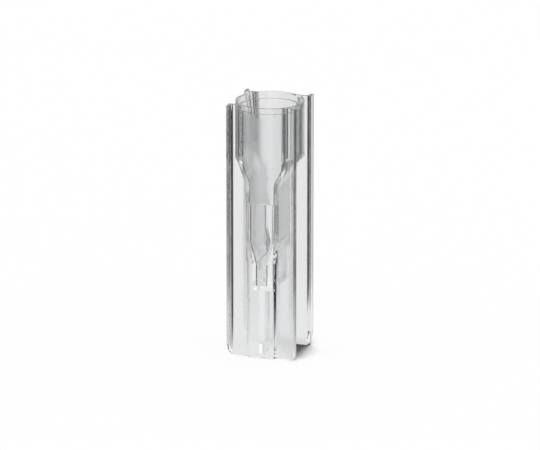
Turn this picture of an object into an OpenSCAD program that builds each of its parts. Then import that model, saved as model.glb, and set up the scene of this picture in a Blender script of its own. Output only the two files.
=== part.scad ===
// Disposable micro cuvette, one clear moulding. A round tube with a seat for a
// lid runs through a funnel and a narrow neck into a small measuring chamber,
// all carried between a front and a back panel with ribs along their edges.
// Millimetres, +Z up, origin at the centre of the foot, windows facing -Y and +Y.

/* [Panels and ribs] */
// Width over the corner ribs, the same both ways, free in a 12.5 mm holder
width = 12.2; // [12.1:0.05:12.6]
// Overall height
height = 45.2; // [43:0.2:52]
// Thickness of the front and back panels
panel_t = 0.58; // [0.4:0.02:0.9]
// How far the corner ribs stand out from the panels
rib_stand = 1.26; // [1:0.02:1.5]
// Thickness of a corner rib
rib_t = 0.54; // [0.4:0.02:0.9]
// Rounding along the outer edges of the panels
edge_r = 0.12; // [0.04:0.02:0.18]
// Rounding along the tips of the ribs
rib_tip_r = 0.2; // [0.04:0.02:0.2]
// Radius in the corner between a rib and its panel
rib_root_r = 0.35; // [0.1:0.05:0.6]
// Radius of the bottom corners of the panels
foot_corner_r = 1; // [0.4:0.1:1.6]
// Height at which the slanted foot of a rib leaves its outer face
rib_foot_h = 2.2; // [1.9:0.1:4]
// Angle of the slanted foot of a rib, from the floor
rib_foot_angle = 51; // [35:1:53]

/* [Tube and lid seat] */
// Diameter of the round bore below the lid seat
bore_d = 10.4; // [10.2:0.05:10.6]
// Wall of the tube, funnel, neck and chamber
wall = 0.78; // [0.6:0.02:0.8]
// Diameter of the seat for the round lid
seat_d = 11.2; // [11:0.05:11.3]
// Depth of the lid seat
seat_depth = 1.15; // [0.6:0.05:2.5]
// Width of the lead-in round the rim
lead_in = 0.16; // [0.05:0.01:0.18]
// Length of the straight tube, from the rim down
tube_len = 9.1; // [7:0.1:11]
// Radius in the corners between the tube and the outer faces of the panels
outer_root_r = 1; // [0.2:0.1:1.5]
// Radius in the corners between the tube and the inner faces of the panels
inner_root_r = 0.2; // [0.1:0.05:0.6]

/* [Funnel and neck] */
// Inside radius of the bend where the funnel leaves the tube
shoulder_r = 0.8; // [0.3:0.1:1.5]
// Inside radius of the bend where the funnel runs into the neck
throat_r = 3.8; // [1.5:0.1:4.5]
// Slope of the funnel between the two bends, from the horizontal
funnel_slope = 51; // [45:1:60]
// Width of the neck inside
neck_w = 4.24; // [3.6:0.02:4.8]
// Thickness of the neck's flat front and back
neck_front_t = 0.5; // [0.4:0.05:0.6]
// Slant of the raised sides of the neck, from the panel
flank_angle = 43; // [35:1:60]
// How far the round front runs down past the funnel
round_drop = 2.8; // [1:0.1:5]

/* [Chamber and windows] */
// Light path between the inner faces of the windows
light_path = 10; // [9.8:0.05:10.2]
// Width of the measuring chamber
chamber_w = 2.08; // [1.6:0.02:2.6]
// Height of the light beam above the foot
beam_h = 15; // [14:0.1:15.5]
// Height of the window that the beam needs
window_h = 3.5; // [2.5:0.1:4]
// How far the narrow chamber reaches past the window, above and below
window_margin = 0.15; // [0.05:0.05:0.5]
// Length over which the hollow narrows from the neck to the chamber
taper_len = 4; // [3:0.1:6]
// Thickness of a window
window_t = 0.65; // [0.5:0.05:0.75]
// Width of a window pad
pad_w = 4.58; // [4.2:0.02:5.4]
// How far a window pad reaches above the window
pad_over = 1.15; // [0.5:0.05:2]
// Radius in the corner between a window pad and its panel
pad_root_r = 0.4; // [0.1:0.05:0.5]
// Thickness of the chamber floor
floor_t = 1; // [0.6:0.05:1.6]
// Thickness of the web below the chamber
web_t = 1; // [0.6:0.05:1.6]
// Height of the web's lower edge above the foot
web_lift = 0.7; // [0.2:0.1:4]

/* [Hidden] */
$fn = 96;

// How far a cut reaches past the face that it opens
over = 1;

// Distances from the middle plane, along Y
rib_out = width / 2;
panel_out = rib_out - rib_stand;
panel_in = panel_out - panel_t;
window_in = light_path / 2;
window_out = window_in + window_t;
neck_out = window_in + neck_front_t;

// Radii and half widths, along X
bore_r = bore_d / 2;
tube_r = bore_r + wall;
seat_r = seat_d / 2;
neck_x = neck_w / 2;
chamber_x = chamber_w / 2;
pad_x = pad_w / 2;

// Funnel: two bends that share their centres inside and outside, and the
// straight slope between them
shoulder_z = height - tube_len;
bends_r = shoulder_r + throat_r;
slope_run = bore_r - neck_x - bends_r * (1 - sin(funnel_slope));
throat_z = shoulder_z - bends_r * cos(funnel_slope) - slope_run * tan(funnel_slope);
round_end = throat_z - round_drop;

// Chamber, and the taper above it
window_half = window_h / 2;
chamber_floor = beam_h - window_half - window_margin;
chamber_under = chamber_floor - floor_t;
taper_bottom = beam_h + window_half + window_margin;
taper_top = taper_bottom + taper_len;
taper_lean = atan((neck_x - chamber_x) / taper_len);
pad_top = beam_h + window_half + pad_over;

// Draws a shape and its mirror image on the other side of the X = 0 plane
module left_and_right() {
    children();
    mirror([1, 0, 0]) children();
}

// Draws a shape and its mirror image on the other side of the Y = 0 plane
module front_and_back() {
    children();
    mirror([0, 1, 0]) children();
}

// Stands a front outline up and runs it through the whole depth
module through_depth() {
    rotate([90, 0, 0]) linear_extrude(width + 2 * over, center = true) children();
}

// Stands a side outline up and runs it through the whole width
module through_width() {
    rotate([90, 0, 90]) linear_extrude(width + 2 * over, center = true) children();
}

// Fill of a square corner at the origin whose faces run along +X and +Y
module corner_fill(r) {
    difference() {
        square(r);
        translate([r, r]) circle(r);
    }
}

// Rectangle from one corner to the opposite one, with rounded corners
module soft_rect(from, to, r) {
    size = to - from;
    translate(from + [r, 0]) square(size - [2 * r, 0]);
    translate(from + [0, r]) square(size - [0, 2 * r]);
    for (x = [from.x + r, to.x - r], y = [from.y + r, to.y - r])
        translate([x, y]) circle(r);
}

// Level section of the back panel with its two ribs
module panel_section() {
    soft_rect([-rib_out, panel_in], [rib_out, panel_out], edge_r);
    left_and_right() {
        soft_rect([rib_out - rib_t, panel_in], [rib_out, rib_out], rib_tip_r);
        translate([rib_out - rib_t, panel_out]) mirror([1, 0]) corner_fill(rib_root_r);
    }
}

// Front outline of a panel, with round bottom corners
module panel_outline() {
    difference() {
        translate([-rib_out, 0]) square([width, height]);
        left_and_right() translate([rib_out, 0]) mirror([1, 0]) corner_fill(foot_corner_r);
    }
}

// Side outline of the panels and ribs, with the ribs' slanted feet
module foot_outline() {
    slant_low = rib_foot_h - rib_stand * tan(rib_foot_angle);
    left_and_right()
        polygon([
            [0, 0], [panel_out, 0], [panel_out, slant_low],
            [rib_out, rib_foot_h], [rib_out, height], [0, height]
        ]);
}

// Both panels and their ribs
module panels() {
    intersection() {
        linear_extrude(height) front_and_back() panel_section();
        through_depth() panel_outline();
        through_width() foot_outline();
    }
}

// Front outline of the hollow from the tube to the chamber, grown outwards
module duct_outline(grow, top, bottom) {
    tube_side = bore_r + grow;
    neck_side = neck_x + grow;
    chamber_side = chamber_x + grow;
    outer_r = shoulder_r + grow;
    inner_r = throat_r - grow;
    dip = grow * tan(taper_lean / 2);
    left_and_right() {
        difference() {
            polygon([
                [0, top],
                [tube_side, top],
                [tube_side, shoulder_z],
                [tube_side - outer_r * (1 - sin(funnel_slope)),
                    shoulder_z - outer_r * cos(funnel_slope)],
                [neck_side + inner_r * (1 - sin(funnel_slope)),
                    throat_z + inner_r * cos(funnel_slope)],
                [neck_side, throat_z],
                [neck_side, taper_top - dip],
                [chamber_side, taper_bottom - dip],
                [chamber_side, bottom],
                [0, bottom]
            ]);
            translate([neck_side + inner_r, throat_z]) circle(inner_r);
        }
        translate([tube_side - outer_r, shoulder_z]) circle(outer_r);
    }
}

// Level section of the fill between the tube and one face of the back panel,
// on the side of that face that "away" points to
module tube_root(face, away, r) {
    fill_y = face + away * r;
    fill_x = sqrt(pow(tube_r + r, 2) - pow(fill_y, 2));
    touch = tube_r / (tube_r + r);
    buried_x = sqrt(pow(tube_r, 2) - pow(face, 2)) - r / 2;
    buried_y = face - away * panel_t / 2;
    difference() {
        polygon([
            [buried_x, buried_y], [fill_x, buried_y], [fill_x, face],
            [fill_x * touch, fill_y * touch]
        ]);
        translate([fill_x, fill_y]) circle(r);
    }
}

// Level section of the tube where it runs through the panels
module tube_section() {
    circle(tube_r);
    left_and_right()
        front_and_back() {
            tube_root(panel_out, 1, outer_root_r);
            tube_root(panel_in, -1, inner_root_r);
        }
}

// Tube and funnel, round down to the neck's flat front
module tube_and_funnel() {
    intersection() {
        translate([0, 0, round_end]) linear_extrude(height - round_end) tube_section();
        through_depth() duct_outline(wall, height + over, round_end - over);
    }
}

// Neck and chamber between the panels
module neck_and_chamber() {
    intersection() {
        translate([-width / 2, -panel_out, chamber_under])
            cube([width, 2 * panel_out, round_end - chamber_under]);
        through_depth() duct_outline(wall, height, chamber_under);
    }
}

// Raised flat front of the neck, with slanting sides, on both panels
module neck_fronts() {
    base_x = neck_x + wall;
    face_x = base_x - (neck_out - panel_out) / tan(flank_angle);
    translate([0, 0, pad_top])
        linear_extrude(round_end - pad_top)
            front_and_back()
                polygon([
                    [-base_x, panel_in], [base_x, panel_in], [base_x, panel_out],
                    [face_x, neck_out], [-face_x, neck_out], [-base_x, panel_out]
                ]);
}

// Window pads, proud of both panels
module window_pads() {
    linear_extrude(pad_top)
        front_and_back() {
            translate([-pad_x, panel_in]) square([pad_w, window_out - panel_in]);
            left_and_right() translate([pad_x, panel_out]) corner_fill(pad_root_r);
        }
}

// Web that ties the panels together below the chamber
module web() {
    translate([-web_t / 2, -panel_out, web_lift])
        cube([web_t, 2 * panel_out, chamber_floor - web_lift]);
}

// Bore, lid seat and lead-in, round and open at the rim
module round_hollow() {
    translate([0, 0, round_end]) cylinder(h = height - round_end + over, r = bore_r);
    translate([0, 0, height - seat_depth]) cylinder(h = seat_depth + over, r = seat_r);
    translate([0, 0, height - lead_in]) cylinder(h = lead_in, r1 = seat_r, r2 = seat_r + lead_in);
}

// The whole hollow: round above, flat-sided in the neck and the chamber
module hollow() {
    intersection() {
        translate([-bore_r, -window_in, chamber_floor])
            cube([bore_d, light_path, round_end - chamber_floor]);
        through_depth() duct_outline(0, height, chamber_floor);
    }
    intersection() {
        round_hollow();
        through_depth() mouth_outline();
    }
}

// Front outline of the hollow, widened above the bore for the lid seat
module mouth_outline() {
    duct_outline(0, height, round_end);
    translate([-width / 2, height - seat_depth]) square([width, seat_depth + over]);
}

module cuvette() {
    color([0.87, 0.9, 0.92, 0.55])
        difference() {
            union() {
                panels();
                tube_and_funnel();
                neck_and_chamber();
                neck_fronts();
                window_pads();
                web();
            }
            hollow();
        }
}

cuvette();
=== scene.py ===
"""A clear disposable micro cuvette, moulded in one piece, standing on a white table.

The moulding is drawn in millimetres. Geometry trees run its level outlines upwards and wrap its
half profiles round the Z axis, and the pieces are then fused, hollowed and scaled to metres.
"""
import math

import bmesh
import bpy
from mathutils import Matrix, Vector


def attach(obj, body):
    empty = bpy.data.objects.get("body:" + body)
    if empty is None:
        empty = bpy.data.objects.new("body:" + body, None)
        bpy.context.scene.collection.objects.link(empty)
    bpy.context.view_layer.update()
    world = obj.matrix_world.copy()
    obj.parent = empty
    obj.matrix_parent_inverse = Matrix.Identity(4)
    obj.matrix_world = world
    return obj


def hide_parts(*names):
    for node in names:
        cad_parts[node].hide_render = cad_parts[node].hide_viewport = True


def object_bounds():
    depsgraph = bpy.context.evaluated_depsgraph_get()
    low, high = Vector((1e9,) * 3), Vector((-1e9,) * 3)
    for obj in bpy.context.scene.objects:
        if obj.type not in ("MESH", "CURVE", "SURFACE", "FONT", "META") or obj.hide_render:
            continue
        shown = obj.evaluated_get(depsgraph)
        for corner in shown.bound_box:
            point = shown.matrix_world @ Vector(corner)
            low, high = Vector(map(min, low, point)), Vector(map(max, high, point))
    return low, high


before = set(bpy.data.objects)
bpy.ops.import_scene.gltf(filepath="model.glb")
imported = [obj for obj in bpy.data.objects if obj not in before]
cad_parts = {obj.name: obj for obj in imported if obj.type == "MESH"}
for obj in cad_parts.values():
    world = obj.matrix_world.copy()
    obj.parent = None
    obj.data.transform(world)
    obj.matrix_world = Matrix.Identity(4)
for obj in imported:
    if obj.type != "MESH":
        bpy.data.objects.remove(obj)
cad_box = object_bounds()

# ---------------------------------------------------------------- sizes, in millimetres

MM = 0.001                      # one millimetre, in metres
WIDTH = (cad_box[1][0] - cad_box[0][0]) / MM
HEIGHT = (cad_box[1][2] - cad_box[0][2]) / MM
OVER = 1.0                      # how far a cutting piece reaches past the face that it opens
SHARP = 0.03                    # the radius that a mould leaves on an edge that counts as sharp
DRAWN_WELD = 1e-4               # points closer than this are one while a piece is drawn
FUSED_WELD = 2e-3               # and once the pieces are fused
CREASE = math.radians(28)       # faces that meet at more than this show an edge
FLAT_WEIGHT = 100               # how strongly the large flat faces set the shading beside them

# Panels and ribs
PANEL_T = 0.58
PANEL_EDGE_R = 0.16
RIB_STAND = 1.26                # how far a rib stands out from its panel
RIB_T = 0.54                    # thickness of a rib at its tip
RIB_DRAFT = math.radians(4)     # lean of a rib's inner face
RIB_TIP_R = 0.13
RIB_ROOT_R = 0.43
FOOT_CORNER_R = 1.0             # round bottom corners of the panels
RIB_FOOT_H = 2.2                # where the slanted foot of a rib leaves its outer face
RIB_FOOT_SLOPE = math.tan(math.radians(51))

# Tube and lid seat
WALL = 0.78                     # of the tube, the funnel, the neck and the chamber
BORE_R = 5.2
SEAT_R = 5.6
SEAT_DEPTH = 1.15
SEAT_ROOT_R = 0.08
LEAD_IN = 0.16
TUBE_LEN = 9.1
OUTER_ROOT_R = 1.0              # hollow corner between the tube and a panel's outer face
INNER_ROOT_R = 0.2              # and its inner face

# Funnel and neck
SHOULDER_R = 0.8                # inside bend from the tube to the funnel
THROAT_R = 3.8                  # inside bend from the funnel to the neck
FUNNEL_SLOPE = math.radians(51)
NECK_X = 2.12                   # half the neck's width inside
NECK_FRONT_T = 0.5
FLANK_RUN = 0.71                # how far a side of the raised neck slants in
ROUND_DROP = 2.8                # how far the round front runs down past the funnel
STEP_H = 0.2                    # height of the step from round to flat

# Chamber, windows and web
WINDOW_IN = 5.0                 # half the light path
WINDOW_T = 0.65
CHAMBER_X = 1.04                # half the chamber's width inside
CHAMBER_FLOOR = 13.1
CHAMBER_UNDER = 12.1
TAPER_BOTTOM = 16.9
TAPER_TOP = 20.9
TAPER_BEND_R = 0.6
CORNER_R = 0.39                 # upright corners of the flat-sided hollow
PAD_X = 2.29                    # half the width of a window pad
PAD_TOP = 17.9
PAD_SLANT = 0.3                 # how far a pad's side leans out to its root
PAD_EDGE_R = 0.08
PAD_ROOT_R = 0.5
WEB_X = 0.5                     # half the web's thickness
WEB_LOW = 0.7

# Places worked out from the sizes
RIB_OUT = WIDTH / 2
PANEL_OUT = RIB_OUT - RIB_STAND
PANEL_IN = PANEL_OUT - PANEL_T
PANEL_MID = PANEL_OUT - PANEL_T / 2
TUBE_R = BORE_R + WALL
NECK_OUT = WINDOW_IN + NECK_FRONT_T
WINDOW_OUT = WINDOW_IN + WINDOW_T
SHOULDER_Z = HEIGHT - TUBE_LEN
BENDS_R = SHOULDER_R + THROAT_R
SLOPE_RUN = BORE_R - NECK_X - BENDS_R * (1 - math.sin(FUNNEL_SLOPE))    # across the straight slope
THROAT_Z = SHOULDER_Z - BENDS_R * math.cos(FUNNEL_SLOPE) - SLOPE_RUN * math.tan(FUNNEL_SLOPE)
ROUND_END = THROAT_Z - ROUND_DROP
HALF_BEND = math.tan((math.pi / 2 - FUNNEL_SLOPE) / 2)  # of its radius, a bend's start to its corner

# How finely the pieces are drawn
BEND_STEPS = 8
FOOT_STEPS = 16
PROFILE_STEPS = 12
ROOT_STEPS = 12
AROUND = 360                    # points round a ring of the duct
CORNERS = 4                     # corners of a ring
GATHER = 0.2                    # pull of a ring's points towards them, in radians
NOT_ZERO = 1e-5                 # least number that anything is divided by
LEAST_BEND = 1e-4               # least radius of a ring's soft corner

# Turns that stand a level outline up, to run along Y or along X
UPRIGHT_FRONT = Matrix.Rotation(math.radians(90), 4, "X")
UPRIGHT_SIDE = Matrix(((0, 0, 1, 0), (1, 0, 0, 0), (0, 1, 0, 0), (0, 0, 0, 1)))

# ---------------------------------------------------------------- finish, table and light

# Clear plastic. A haze is the roughness of the faces that the mould leaves less than polished.
PLASTIC_TINT = (0.95, 0.955, 0.96, 1)
PLASTIC_IOR = 1.54
POLISHED = 0.01
HAZE_SIDE = 0.21                # sides of the neck and the chamber
HAZE_BORE = 0.15                # hollow above the neck
HAZE_FRONT = 0.23               # round front and back of the tube and the funnel
RIM_CLEAR = 1.5                 # height of the polished band under the rim, in millimetres
HAZE_EASE = 0.2                 # width over which one finish passes into the next, in millimetres
SKIN = 0.05                     # how near the tube's radius a point counts as its outer skin

# Table top, in metres. The camera sees it white; the clear plastic shows it a little greyer.
TABLE_HALF = 3.0
TABLE_PAINT = (0.95, 0.95, 0.95, 1)
TABLE_STEADY = 0.92             # share of its white that no shadow of the room's light reaches
TONE_THROUGH = 0.85             # its steady white as the clear plastic shows it
# The shadow below is painted into the table's steady glow, not cast by a lamp.
SHADOW_FROM = (-0.7, -0.45, 0.55)       # the way to the sky that the object may hide
SHADOW_REACH = 0.0102           # how near the object has to be to hide it
SHADOW_SAMPLES = 12
SHADOW_NONE = 0.74              # openness of that sky above which there is no shadow
SHADOW_FULL = 0.59              # and below which it is deepest
SHADOW_TONE = 0.03              # the steady white where it is deepest
SHADOW_THROUGH = 0.2            # how much of the shadow the clear plastic shows
LEE_WAY = (0.8, 0.6, 0)         # the side that the shadow falls to
LEE_FULL = 0.004                # how far to that side it reaches its full depth

# Dark cards, in metres, and in degrees round the object from straight behind it. A card lies flat
# from inner out to away, then stands up. It starts at first, is quite dark soft degrees further on,
# and ends at last.
CARD_TONE = (0, 0, 0, 1)
CARD_FADE = 0.006               # width over which it darkens from its inner edge
CARD_TOP = 0.042
CARD_LIFT = 0.0002              # how far it lies above the table
LEFT_CARD = {"inner": 0.0075, "away": 0.0116, "first": 8, "soft": 31, "last": 133}
RIGHT_CARD = {"inner": 0.024, "away": 0.03, "first": 25, "soft": 23, "last": 172}

# Camera, in metres and degrees, and how many faces a ray of light may cross
VIEW_TURN = 16.865
VIEW_RISE = 16.267
VIEW_AWAY = 0.94
VIEW_HEIGHT = 0.02266
LENS = 360.2
SENSOR = 36
CLIP = (0.05, 20)
RAY_STEPS = 32
GLOSS_STEPS = 16


# ---------------------------------------------------------------- geometry trees

def new_tree(name, sockets):
    """An empty geometry tree that takes a geometry, the named sockets and a plastic."""
    tree = bpy.data.node_groups.new(name, "GeometryNodeTree")
    tree.interface.new_socket("Geometry", in_out="INPUT", socket_type="NodeSocketGeometry")
    for label, kind in sockets:
        tree.interface.new_socket(label, in_out="INPUT", socket_type="NodeSocket" + kind)
    tree.interface.new_socket("Plastic", in_out="INPUT", socket_type="NodeSocketMaterial")
    tree.interface.new_socket("Geometry", in_out="OUTPUT", socket_type="NodeSocketGeometry")
    return tree, tree.nodes.new("NodeGroupInput").outputs


def add(tree, kind, wires, **settings):
    """Adds a node, sets it and feeds its inputs from other sockets or with plain values."""
    node = tree.nodes.new(kind)
    for name, value in settings.items():
        setattr(node, name, value)
    for name, value in wires.items():
        if isinstance(value, bpy.types.NodeSocket):
            tree.links.new(value, node.inputs[name])
        else:
            node.inputs[name].default_value = value
    return node.outputs


def calc(tree, operation, *values):
    """One step of arithmetic on numbers."""
    return add(tree, "ShaderNodeMath", dict(enumerate(values)), operation=operation)[0]


def vector(tree, operation, *values):
    """One step of arithmetic on vectors."""
    return add(tree, "ShaderNodeVectorMath", dict(enumerate(values)), operation=operation)[0]


def xyz(tree, **parts):
    """A vector from its named parts."""
    return add(tree, "ShaderNodeCombineXYZ", parts)[0]


def mixed(tree, share, first, second):
    """The first number, passing into the second as the share rises from 0 to 1."""
    return add(tree, "ShaderNodeMix", {"Factor": share, "A": first, "B": second})[0]


def ramp(tree, value, start, full, kind="SMOOTHSTEP"):
    """Rises from 0 to 1 as the value passes from start to full."""
    return add(tree, "ShaderNodeMapRange", {"Value": value, "From Min": start, "From Max": full},
               interpolation_type=kind)[0]


def joined(tree, *parts):
    """Several geometries as one."""
    node = tree.nodes.new("GeometryNodeJoinGeometry")
    for part in parts:
        tree.links.new(part, node.inputs[0])
    return node.outputs[0]


def close_tree(tree, geometry, plastic):
    """Ends a tree: real geometry, in the plastic that was asked for."""
    solid = add(tree, "GeometryNodeRealizeInstances", {"Geometry": geometry})[0]
    dressed = add(tree, "GeometryNodeSetMaterial", {"Geometry": solid, "Material": plastic})[0]
    add(tree, "NodeGroupOutput", {"Geometry": dressed})
    return tree


def softened_outline(tree, outline, steps):
    """The drawn outline with each corner rounded by its own radius."""
    curve = add(tree, "GeometryNodeMeshToCurve", {"Mesh": outline})[0]
    bend = add(tree, "GeometryNodeInputNamedAttribute", {"Name": "bend"}, data_type="FLOAT")[0]
    return add(tree, "GeometryNodeFilletCurve", {"Curve": curve, "Count": steps, "Radius": bend},
               mode="POLY")[0]


def mirrored(tree, geometry, axis, wanted):
    """The geometry with its mirror image across one axis, where that is wanted."""
    flip = tuple(-1 if i == axis else 1 for i in range(3))
    image = add(tree, "GeometryNodeTransform", {"Geometry": geometry, "Scale": flip})[0]
    image = add(tree, "GeometryNodeFlipFaces", {"Mesh": image})[0]
    pair = joined(tree, geometry, image)
    return add(tree, "GeometryNodeSwitch", {"Switch": wanted, "False": geometry, "True": pair},
               input_type="GEOMETRY")[0]


def run_tree():
    """Runs a closed outline up from one level to another, once or on both sides of a plane."""
    tree, given = new_tree("level_run", [("Low", "Float"), ("High", "Float"), ("Bend steps", "Int"),
                                         ("Left and right", "Bool"), ("Front and back", "Bool")])
    outline = softened_outline(tree, given["Geometry"], given["Bend steps"])
    face = add(tree, "GeometryNodeFillCurve", {"Curve": outline}, mode="NGONS")[0]
    start = xyz(tree, Z=given["Low"])
    face = add(tree, "GeometryNodeTransform", {"Geometry": face, "Translation": start})[0]
    rise = xyz(tree, Z=calc(tree, "SUBTRACT", given["High"], given["Low"]))
    sides = add(tree, "GeometryNodeExtrudeMesh", {"Mesh": face, "Offset": rise, "Offset Scale": 1,
                                                  "Individual": False}, mode="FACES")[0]
    under = add(tree, "GeometryNodeFlipFaces", {"Mesh": face})[0]
    solid = add(tree, "GeometryNodeMergeByDistance", {"Geometry": joined(tree, sides, under),
                                                      "Distance": DRAWN_WELD})[0]
    solid = mirrored(tree, solid, 0, given["Left and right"])
    solid = mirrored(tree, solid, 1, given["Front and back"])
    return close_tree(tree, solid, given["Plastic"])


def duct_tree():
    """Wraps a level ring round the Z axis at each point of a drawn half profile.

    A ring is a circle, or below "Round end" a flat front and back, cut by two flat sides at the
    profile's half width, with soft corners where they meet.
    """
    tree, given = new_tree("duct", [("Round radius", "Float"), ("Front", "Float"), ("Round end", "Float"),
                                    ("Corner", "Float"), ("Bend steps", "Int"), ("Around", "Int")])

    # One ring of a plain cylinder for each point of the profile, from the top down
    profile = softened_outline(tree, given["Geometry"], given["Bend steps"])
    levels = add(tree, "GeometryNodeAttributeDomainSize", {"Geometry": profile}, component="CURVE")[0]
    last = calc(tree, "SUBTRACT", levels, 1)
    shell = add(tree, "GeometryNodeMeshCylinder", {"Vertices": given["Around"], "Side Segments": last,
                                                   "Radius": 1, "Depth": last}, fill_type="NGON")[0]
    place = add(tree, "GeometryNodeInputPosition", {})[0]
    parts = add(tree, "ShaderNodeSeparateXYZ", {"Vector": place})
    middle = calc(tree, "DIVIDE", last, 2)
    level = calc(tree, "ROUND", calc(tree, "SUBTRACT", middle, parts["Z"]))
    point = add(tree, "GeometryNodeSampleIndex", {"Geometry": profile, "Value": place, "Index": level},
                data_type="FLOAT_VECTOR", domain="POINT")[0]
    at = add(tree, "ShaderNodeSeparateXYZ", {"Vector": point})
    half = at["X"]
    height = at["Z"]
    is_round = calc(tree, "GREATER_THAN", height, given["Round end"])
    radius = calc(tree, "MAXIMUM", given["Round radius"], half)
    reach = mixed(tree, is_round, given["Front"], radius)

    # The way each point of the ring lies from the axis, gathered towards the corners
    even = calc(tree, "ARCTAN2", parts["Y"], parts["X"])
    pull = calc(tree, "MULTIPLY", calc(tree, "SINE", calc(tree, "MULTIPLY", even, CORNERS)), GATHER)
    spread = calc(tree, "ADD", even, pull)
    turn = calc(tree, "ARCTAN2", calc(tree, "MULTIPLY", calc(tree, "SINE", spread), reach),
                calc(tree, "MULTIPLY", calc(tree, "COSINE", spread), half))
    across = calc(tree, "COSINE", turn)
    along = calc(tree, "SINE", turn)

    # How far out it lies: on the flat side or on the front, whichever comes first
    side = calc(tree, "DIVIDE", half, calc(tree, "MAXIMUM", calc(tree, "ABSOLUTE", across), NOT_ZERO))
    front = calc(tree, "DIVIDE", reach, calc(tree, "MAXIMUM", calc(tree, "ABSOLUTE", along), NOT_ZERO))
    spare = calc(tree, "MAXIMUM", calc(tree, "SUBTRACT", reach, half), LEAST_BEND)
    soft = calc(tree, "SMOOTH_MIN", side, radius, calc(tree, "MINIMUM", given["Corner"], spare))
    away = mixed(tree, is_round, calc(tree, "MINIMUM", side, front), soft)
    ring = xyz(tree, X=calc(tree, "MULTIPLY", away, across), Y=calc(tree, "MULTIPLY", away, along))

    # A ring with a flat front gets true round corners
    core = xyz(tree, X=calc(tree, "SUBTRACT", half, given["Corner"]),
               Y=calc(tree, "SUBTRACT", reach, given["Corner"]))
    opposite = add(tree, "ShaderNodeVectorMath", {0: core, "Scale": -1}, operation="SCALE")[0]
    inner = vector(tree, "MINIMUM", vector(tree, "MAXIMUM", ring, opposite), core)
    outward = vector(tree, "NORMALIZE", vector(tree, "SUBTRACT", ring, inner))
    eased = vector(tree, "MULTIPLY_ADD", outward, given["Corner"], inner)
    ring = add(tree, "ShaderNodeMix", {0: is_round, 4: eased, 5: ring}, data_type="VECTOR")[1]

    ring = vector(tree, "ADD", ring, xyz(tree, Z=height))
    duct = add(tree, "GeometryNodeSetPosition", {"Geometry": shell, "Position": ring})[0]
    return close_tree(tree, duct, given["Plastic"])


def drawn(name, points, closed=True):
    """A bare outline: its corners, each with the radius that will round it.

    A closed outline lies level. An open one is a half profile and stands in the XZ plane.
    """
    count = len(points)
    edges = [(i, (i + 1) % count) for i in range(count if closed else count - 1)]
    mesh = bpy.data.meshes.new(name)
    mesh.from_pydata([(p[0], p[1], 0) if closed else (p[0], 0, p[1]) for p in points], edges, [])
    bend = mesh.attributes.new("bend", "FLOAT", "POINT")
    bend.data.foreach_set("value", [p[2] for p in points])
    obj = bpy.data.objects.new(name, mesh)
    bpy.context.scene.collection.objects.link(obj)
    return obj


def made(obj, tree, sizes, turn=None):
    """Runs a tree on a drawn outline and keeps only the plain mesh that comes out."""
    modifier = obj.modifiers.new(tree.name, "NODES")
    modifier.node_group = tree
    sockets = {item.name: item.identifier for item in tree.interface.items_tree if item.in_out == "INPUT"}
    for name, value in {**sizes, "Plastic": PLASTIC}.items():
        modifier[sockets[name]] = value
    keep_result(obj)
    bm = bmesh.new()
    bm.from_mesh(obj.data)
    bmesh.ops.remove_doubles(bm, verts=bm.verts, dist=DRAWN_WELD)
    bmesh.ops.recalc_face_normals(bm, faces=bm.faces)
    bm.to_mesh(obj.data)
    bm.free()
    if turn:
        obj.data.transform(turn)
    return obj


def keep_result(obj):
    """Turns an object's evaluated form into its own mesh and drops its modifiers."""
    result = bpy.data.meshes.new_from_object(obj.evaluated_get(bpy.context.evaluated_depsgraph_get()))
    old = obj.data
    obj.modifiers.clear()
    obj.data = result
    bpy.data.meshes.remove(old)


def worked(body, tool, operation):
    """Joins a piece to the body, or cuts the body by it."""
    modifier = body.modifiers.new(operation, "BOOLEAN")
    modifier.operation = operation
    modifier.solver = "MANIFOLD"
    modifier.object = tool
    keep_result(body)
    bpy.data.objects.remove(tool)


# ---------------------------------------------------------------- the moulding's pieces

def both_sides(right):
    """A whole outline from its right half, which runs from one point on the Y axis to another."""
    return right + [(-x, y, r) for x, y, r in reversed(right) if x > 0]


def run(name, outline, low, high, four=(False, False), turn=None, steps=BEND_STEPS):
    """A level outline run up from low to high, mirrored left and right or front and back if asked."""
    sizes = {"Low": low, "High": high, "Bend steps": steps, "Left and right": four[0],
             "Front and back": four[1]}
    return made(drawn(name, outline), RUN, sizes, turn)


def panels():
    """Both panels and their four ribs, whose inner faces lean by the draft."""
    rib_root = RIB_OUT - RIB_T - RIB_STAND * math.tan(RIB_DRAFT)
    section = both_sides([
        (0, PANEL_IN, 0), (RIB_OUT, PANEL_IN, PANEL_EDGE_R), (RIB_OUT, RIB_OUT, RIB_TIP_R),
        (RIB_OUT - RIB_T, RIB_OUT, RIB_TIP_R), (rib_root, PANEL_OUT, RIB_ROOT_R), (0, PANEL_OUT, 0)])
    return run("panels", section, 0, HEIGHT, (False, True))


def rib_feet():
    """Side outline that the panels are trimmed to, with the ribs' slanted feet."""
    low = RIB_FOOT_H - RIB_STAND * RIB_FOOT_SLOPE
    outline = both_sides([
        (0, 0, 0), (PANEL_OUT, 0, SHARP), (PANEL_OUT, low, SHARP), (RIB_OUT, RIB_FOOT_H, SHARP),
        (RIB_OUT + OVER, RIB_FOOT_H, 0), (RIB_OUT + OVER, HEIGHT, 0), (0, HEIGHT, 0)])
    return run("rib_feet", outline, -RIB_OUT - OVER, RIB_OUT + OVER, turn=UPRIGHT_SIDE)


def bottom_corners():
    """Front outline that the panels are trimmed to, round at the bottom corners."""
    outline = both_sides([
        (0, 0, 0), (RIB_OUT, 0, FOOT_CORNER_R), (RIB_OUT, HEIGHT, SHARP), (0, HEIGHT, 0)])
    return run("bottom_corners", outline, -RIB_OUT - OVER, RIB_OUT + OVER, turn=UPRIGHT_FRONT,
               steps=FOOT_STEPS)


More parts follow.
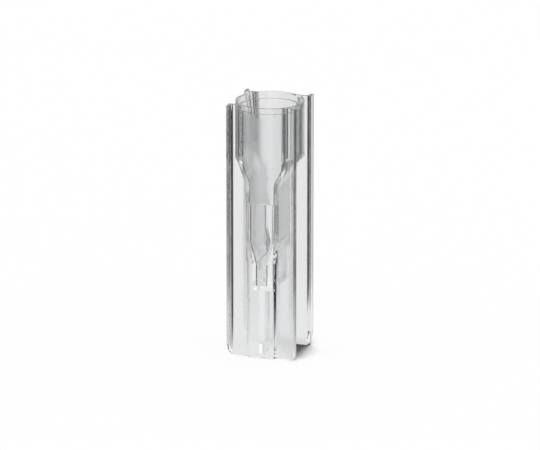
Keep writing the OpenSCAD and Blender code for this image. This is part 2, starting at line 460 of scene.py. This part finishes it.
def duct_profile(grow, top):
    """Half profile from the tube down to the chamber, outside the hollow by grow."""
    tube = BORE_R + grow
    neck = NECK_X + grow
    chamber = CHAMBER_X + grow
    outer = SHOULDER_R + grow
    inner = THROAT_R - grow
    dip = grow * math.tan(math.atan((NECK_X - CHAMBER_X) / (TAPER_TOP - TAPER_BOTTOM)) / 2)
    return top + [
        (tube, SHOULDER_Z - outer * HALF_BEND, outer), (neck, THROAT_Z + inner * HALF_BEND, inner),
        (neck, ROUND_END + STEP_H / 2, 0), (neck, ROUND_END - STEP_H / 2, 0),
        (neck, TAPER_TOP - dip, 2 * TAPER_BEND_R), (chamber, TAPER_BOTTOM - dip, TAPER_BEND_R)]


def duct(name, profile, radius, front, corner):
    """A closed form round the Z axis, round above the neck and flat-sided below."""
    sizes = {"Round radius": radius, "Front": front, "Round end": ROUND_END, "Corner": corner,
             "Bend steps": PROFILE_STEPS, "Around": AROUND}
    return made(drawn(name, profile, closed=False), DUCT, sizes)


def duct_wall():
    """Outside of the tube, funnel, neck and chamber."""
    profile = duct_profile(WALL, [(TUBE_R, HEIGHT, 0)]) + [(CHAMBER_X + WALL, CHAMBER_UNDER, 0)]
    return duct("duct_wall", profile, TUBE_R, PANEL_MID, SHARP)


def hollow():
    """Lid seat, bore, funnel, neck and chamber, open at the rim."""
    mouth = [(SEAT_R + LEAD_IN, HEIGHT + OVER, 0), (SEAT_R + LEAD_IN, HEIGHT, 0),
             (SEAT_R, HEIGHT - LEAD_IN, 0), (SEAT_R, HEIGHT - SEAT_DEPTH, SEAT_ROOT_R),
             (BORE_R, HEIGHT - SEAT_DEPTH, SHARP)]
    return duct("hollow", duct_profile(0, mouth) + [(CHAMBER_X, CHAMBER_FLOOR, 0)], BORE_R, WINDOW_IN,
                CORNER_R)


def tube_root(name, face, away, r):
    """Fills between the tube and one face of each panel, with a hollow radius."""
    fill_y = face + away * r
    fill_x = math.sqrt((TUBE_R + r) ** 2 - fill_y ** 2)
    start = math.atan2(face - fill_y, 0)
    end = math.atan2(-fill_y, -fill_x)
    if away < 0:
        end %= 2 * math.pi
    curve = [start + (end - start) * i / ROOT_STEPS for i in range(ROOT_STEPS + 1)]
    inside_x = math.sqrt(TUBE_R ** 2 - face ** 2) - r / 2
    inside_y = face - away * PANEL_T / 2
    outline = [(fill_x, inside_y, 0)]
    outline += [(fill_x + r * math.cos(a), fill_y + r * math.sin(a), 0) for a in curve]
    outline += [(inside_x, inside_y, 0)]
    return run(name, outline, SHOULDER_Z, HEIGHT, (True, True))


def neck_fronts():
    """Raised flat front and back of the neck, with slanting sides."""
    base = NECK_X + WALL
    outline = both_sides([
        (0, PANEL_MID, 0), (base, PANEL_MID, 0), (base, PANEL_OUT, SHARP),
        (base - FLANK_RUN, NECK_OUT, SHARP), (0, NECK_OUT, 0)])
    return run("neck_fronts", outline, PAD_TOP - OVER / 2, ROUND_END, (False, True))


def window_pads():
    """Both window pads, whose sides lean out to the panels."""
    root = PAD_X + PAD_SLANT
    outline = both_sides([
        (0, PANEL_MID, 0), (root + PAD_ROOT_R, PANEL_MID, 0), (root + PAD_ROOT_R, PANEL_OUT, 0),
        (root, PANEL_OUT, PAD_ROOT_R - SHARP), (PAD_X, WINDOW_OUT, PAD_EDGE_R), (0, WINDOW_OUT, 0)])
    return run("window_pads", outline, 0, PAD_TOP, (False, True))


def web():
    """Web that ties the panels together below the chamber."""
    outline = [(-WEB_X, -PANEL_MID, 0), (WEB_X, -PANEL_MID, 0), (WEB_X, PANEL_MID, 0),
               (-WEB_X, PANEL_MID, 0)]
    return run("web", outline, WEB_LOW, (CHAMBER_FLOOR + CHAMBER_UNDER) / 2)


def moulding():
    """The whole cuvette, fused and hollowed."""
    body = panels()
    worked(body, rib_feet(), "INTERSECT")
    worked(body, bottom_corners(), "INTERSECT")
    for piece in (window_pads(), neck_fronts(), web(), duct_wall(),
                  tube_root("outer_roots", PANEL_OUT, 1, OUTER_ROOT_R),
                  tube_root("inner_roots", PANEL_IN, -1, INNER_ROOT_R)):
        worked(body, piece, "UNION")
    worked(body, hollow(), "DIFFERENCE")
    bm = bmesh.new()
    bm.from_mesh(body.data)
    bmesh.ops.remove_doubles(bm, verts=bm.verts, dist=FUSED_WELD)
    bmesh.ops.dissolve_degenerate(bm, dist=FUSED_WELD, edges=bm.edges)
    bm.to_mesh(body.data)
    bm.free()
    body.data.transform(Matrix.Scale(MM, 4))
    body.name = body.data.name = "clear_moulding"
    body.data.materials.clear()
    body.data.materials.append(PLASTIC)
    body.data.shade_smooth()
    body.data.set_sharp_from_angle(angle=CREASE)
    weigh = body.modifiers.new("weigh", "WEIGHTED_NORMAL")
    weigh.keep_sharp = True
    weigh.weight = FLAT_WEIGHT
    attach(body, "root")
    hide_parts("cuvette")


# ---------------------------------------------------------------- finish

def bare_material(name):
    """A material whose node tree is still empty."""
    mat = bpy.data.materials.new(name)
    mat.use_nodes = True
    mat.node_tree.nodes.clear()
    return mat, mat.node_tree


def place_on_piece(tree):
    """Where a point of the piece lies, in the frame, as X, Y and Z."""
    return add(tree, "ShaderNodeSeparateXYZ", {"Vector": add(tree, "ShaderNodeTexCoord", {})["Object"]})


def clear_plastic():
    """Clear moulded polymer.

    The outsides, the windows and the neck's flat faces are polished. The hollow above the neck, the
    sides of the neck and the chamber, and the round front and back of the tube and funnel are softer.
    """
    mat = bpy.data.materials.new("clear_plastic")
    mat.use_nodes = True
    tree = mat.node_tree
    shader = tree.nodes["Principled BSDF"]
    shader.inputs["Base Color"].default_value = PLASTIC_TINT
    shader.inputs["Transmission Weight"].default_value = 1
    shader.inputs["IOR"].default_value = PLASTIC_IOR
    at = place_on_piece(tree)
    across = calc(tree, "ABSOLUTE", at["X"])
    depth = calc(tree, "ABSOLUTE", at["Y"])
    height = at["Z"]
    from_axis = add(tree, "ShaderNodeVectorMath", {0: xyz(tree, X=at["X"], Y=at["Y"])},
                    operation="LENGTH")["Value"]

    # Hollow and sides of the duct
    beside = ramp(tree, across, NECK_X * MM, (NECK_X + HAZE_EASE) * MM)
    above = ramp(tree, height, (ROUND_END - HAZE_EASE / 2) * MM, (ROUND_END + HAZE_EASE / 2) * MM)
    between = calc(tree, "LESS_THAN", depth, PANEL_MID * MM)
    bore = calc(tree, "LESS_THAN", from_axis, (BORE_R + WALL / 2) * MM)
    inside = calc(tree, "MAXIMUM", between, bore)
    soft = calc(tree, "MULTIPLY", calc(tree, "MAXIMUM", beside, above), inside)
    haze = mixed(tree, soft, POLISHED, mixed(tree, above, HAZE_SIDE, HAZE_BORE))

    # Outer skin of the tube and funnel, where it stands proud of the panels and below the rim
    skin = calc(tree, "COMPARE", from_axis, TUBE_R * MM, SKIN * MM)
    proud = calc(tree, "GREATER_THAN", depth, (PANEL_OUT + SHARP) * MM)
    rim = (HEIGHT - RIM_CLEAR) * MM
    below_rim = ramp(tree, height, rim, rim - 2 * HAZE_EASE * MM)
    front = calc(tree, "MULTIPLY", above, calc(tree, "MULTIPLY", skin, proud))
    front = calc(tree, "MULTIPLY", front, below_rim)
    tree.links.new(mixed(tree, front, haze, HAZE_FRONT), shader.inputs["Roughness"])
    return mat


def card_finish(name, inner, first, soft):
    """Dark card that deepens away from its inner edge and its far end, and spares the table's light."""
    mat, tree = bare_material(name)
    at = place_on_piece(tree)
    out = calc(tree, "ABSOLUTE", at["X"])
    past_edge = calc(tree, "ADD", calc(tree, "SUBTRACT", out, inner), at["Z"])
    heading = calc(tree, "ARCTAN2", out, at["Y"])
    cover = calc(tree, "MULTIPLY", ramp(tree, past_edge, 0, CARD_FADE, "LINEAR"),
                 ramp(tree, heading, math.radians(first), math.radians(first + soft), "LINEAR"))
    bounces = add(tree, "ShaderNodeLightPath", {})["Diffuse Depth"]
    cover = calc(tree, "MULTIPLY", cover, calc(tree, "LESS_THAN", bounces, 1))
    clear = add(tree, "ShaderNodeBsdfTransparent", {})[0]
    dark = add(tree, "ShaderNodeEmission", {"Color": CARD_TONE})[0]
    card = add(tree, "ShaderNodeMixShader", {0: cover, 1: clear, 2: dark})[0]
    add(tree, "ShaderNodeOutputMaterial", {"Surface": card})
    return mat


def table_finish():
    """White table top: part matt paint, part steady white glow with a painted shadow on the object's lee
    side.
    """
    mat, tree = bare_material("floor")
    # Painted shadow: the glow darkens where the object hides this side of the sky, and only on its lee
    # side.
    open_sky = add(tree, "ShaderNodeAmbientOcclusion", {"Distance": SHADOW_REACH, "Normal": SHADOW_FROM},
                   samples=SHADOW_SAMPLES)["AO"]
    hidden = ramp(tree, open_sky, SHADOW_NONE, SHADOW_FULL, "LINEAR")
    place = add(tree, "ShaderNodeTexCoord", {})["Object"]
    lee = add(tree, "ShaderNodeVectorMath", {0: place, 1: LEE_WAY}, operation="DOT_PRODUCT")["Value"]
    lee = ramp(tree, lee, 0, LEE_FULL)
    direct = add(tree, "ShaderNodeLightPath", {})["Is Camera Ray"]
    depth = calc(tree, "MULTIPLY", mixed(tree, direct, SHADOW_THROUGH, 1),
                 calc(tree, "MULTIPLY", hidden, lee))
    shade = mixed(tree, depth, mixed(tree, direct, TONE_THROUGH, 1), SHADOW_TONE)
    steady = add(tree, "ShaderNodeEmission", {"Color": shade})[0]
    paint = add(tree, "ShaderNodeBsdfDiffuse", {"Color": TABLE_PAINT})[0]
    white = add(tree, "ShaderNodeMixShader", {0: TABLE_STEADY, 1: paint, 2: steady})[0]
    add(tree, "ShaderNodeOutputMaterial", {"Surface": white})
    return mat


# ---------------------------------------------------------------- camera, table and light

def camera():
    """Long lens, a little to the right of the front and above it."""
    turn = math.radians(VIEW_TURN)
    rise = math.radians(VIEW_RISE)
    away = Vector((math.sin(turn) * math.cos(rise), -math.cos(turn) * math.cos(rise), math.sin(rise)))
    data = bpy.data.cameras.new("camera")
    data.lens = LENS
    data.sensor_width = SENSOR
    data.clip_start, data.clip_end = CLIP
    obj = bpy.data.objects.new("camera", data)
    obj.location = Vector((0, 0, VIEW_HEIGHT)) + away * VIEW_AWAY
    obj.rotation_euler = (-away).to_track_quat("-Z", "Y").to_euler()
    bpy.context.scene.collection.objects.link(obj)
    bpy.context.scene.camera = obj
    return obj


def staged(name, points, faces, mat):
    """A piece of the studio: a few flat faces in one finish."""
    mesh = bpy.data.meshes.new(name)
    mesh.from_pydata(points, [], faces)
    mesh.materials.append(mat)
    obj = bpy.data.objects.new(name, mesh)
    bpy.context.scene.collection.objects.link(obj)
    return obj


def side_card(name, side, eye, inner, away, first, soft, last):
    """Dark card beside the line of sight: it lies on the table from inner out to away, then stands up.

    It runs between two directions from the object, first and last, and turns with the camera, so
    that the clear edges show as dark lines from every side.
    """
    far = away / math.tan(math.radians(first))
    near = away / math.tan(math.radians(last))
    far_in = inner / math.tan(math.radians(first))
    rows = [(inner, far_in, near, CARD_LIFT), (away, far, near, CARD_LIFT), (away, far, near, CARD_TOP)]
    points = [(side * x, y, z) for x, y_far, y_near, z in rows for y in (y_far, y_near)]
    obj = staged(name, points, [(0, 1, 3, 2), (2, 3, 5, 4)], card_finish(name, inner, first, soft))
    follow = obj.constraints.new("COPY_ROTATION")
    follow.target = eye
    follow.use_x = False
    follow.use_y = False
    obj.visible_camera = False
    obj.visible_shadow = False
    obj.visible_diffuse = False


def table_top():
    """The white table."""
    h = TABLE_HALF
    staged("floor", [(-h, -h, 0), (h, -h, 0), (h, h, 0), (-h, h, 0)], [(0, 1, 2, 3)], table_finish())


def room_light():
    """Even white light from all round."""
    world = bpy.data.worlds.new("room")
    bpy.context.scene.world = world
    world.use_nodes = True
    world.node_tree.nodes["Background"].inputs["Color"].default_value = (1, 1, 1, 1)


RUN = run_tree()
DUCT = duct_tree()
PLASTIC = clear_plastic()
eye = camera()
moulding()
side_card("left_card", -1, eye, **LEFT_CARD)
side_card("right_card", 1, eye, **RIGHT_CARD)
table_top()
room_light()

scene = bpy.context.scene
scene.view_settings.view_transform = "Standard"
scene.cycles.max_bounces = RAY_STEPS
scene.cycles.transmission_bounces = RAY_STEPS
scene.cycles.glossy_bounces = GLOSS_STEPS
